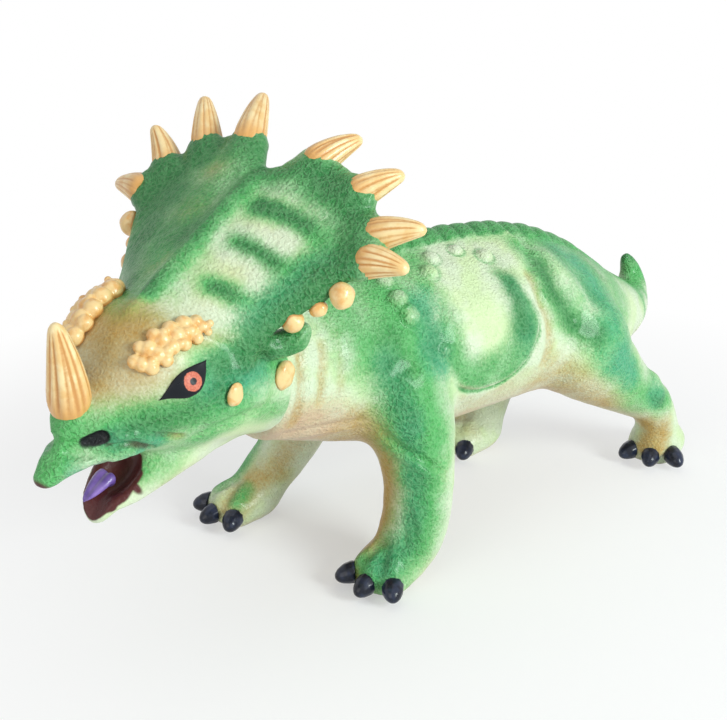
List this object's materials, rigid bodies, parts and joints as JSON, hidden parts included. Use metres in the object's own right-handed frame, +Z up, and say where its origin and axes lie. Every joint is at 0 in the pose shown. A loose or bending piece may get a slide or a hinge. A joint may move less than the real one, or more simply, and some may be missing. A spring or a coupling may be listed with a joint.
{
  "type": "toy dinosaur figure",
  "caption": "Standing horned dinosaur toy figure of painted soft vinyl, with a wide spiked neck frill, an open beak and a head that turns on its neck",
  "frame": {"origin": "On the ground, under the middle of the figure's bounding box, with the soles at z = 0", "axes": "The tail is towards +Y and the nose towards -Y, the animal's left side is +X, +Z is up"},
  "size_m": [0.1792, 0.4402, 0.2422],
  "materials": {
    "skin_vinyl": "pebbled soft vinyl, airbrushed dark and mid green over pale cream-green, semi-gloss",
    "horn_vinyl": "fluted soft vinyl painted ochre yellow, satin",
    "scale_vinyl": "raised scales in soft vinyl, painted yellow-green, satin",
    "claw_vinyl": "smooth soft vinyl painted dark navy, glossy",
    "eye_gloss": "black gloss with a pink iris",
    "tongue_vinyl": "dark purple-red gloss",
    "fibre_filling": "loose polyester fibre filling, never seen",
    "stopper_vinyl": "plain soft vinyl plug, matt"
  },
  "bodies": {
    "body": {"belly_stopper": "stopper_vinyl", "front_left_claw_1": "claw_vinyl", "front_left_claw_2": "claw_vinyl", "front_left_claw_3": "claw_vinyl", "front_left_leg": "skin_vinyl", "front_right_claw_1": "claw_vinyl", "front_right_claw_2": "claw_vinyl", "front_right_claw_3": "claw_vinyl", "front_right_leg": "skin_vinyl", "hind_left_claw_1": "claw_vinyl", "hind_left_claw_2": "claw_vinyl", "hind_left_claw_3": "claw_vinyl", "hind_left_leg": "skin_vinyl", "hind_right_claw_1": "claw_vinyl", "hind_right_claw_2": "claw_vinyl", "hind_right_claw_3": "claw_vinyl", "hind_right_leg": "skin_vinyl", "tail": "skin_vinyl", "torso": "skin_vinyl", "torso_stuffing": "fibre_filling"},
    "head": {"brow_boss_left": "scale_vinyl", "brow_boss_right": "scale_vinyl", "cheek_nub_left_1": "scale_vinyl", "cheek_nub_left_2": "scale_vinyl", "cheek_nub_right_1": "scale_vinyl", "cheek_nub_right_2": "scale_vinyl", "eye_left": "eye_gloss", "eye_right": "eye_gloss", "frill_nub_left_1": "scale_vinyl", "frill_nub_left_2": "scale_vinyl", "frill_nub_left_3": "scale_vinyl", "frill_nub_left_4": "scale_vinyl", "frill_nub_right_1": "scale_vinyl", "frill_nub_right_2": "scale_vinyl", "frill_nub_right_3": "scale_vinyl", "frill_nub_right_4": "scale_vinyl", "frill_spike_left_1": "horn_vinyl", "frill_spike_left_2": "horn_vinyl", "frill_spike_left_3": "horn_vinyl", "frill_spike_left_4": "horn_vinyl", "frill_spike_right_1": "horn_vinyl", "frill_spike_right_2": "horn_vinyl", "frill_spike_right_3": "horn_vinyl", "frill_spike_right_4": "horn_vinyl", "head": "skin_vinyl", "head_stuffing": "fibre_filling", "nose_horn": "horn_vinyl", "tongue": "tongue_vinyl"}
  },
  "joints": [
    {"name": "head_swivel", "type": "hinge", "parent": "body", "child": "head", "pos_m": [0.0017, -0.1024, 0.122], "axis": [0, -1, 0], "range_deg": [-25, 25]}
  ]
}
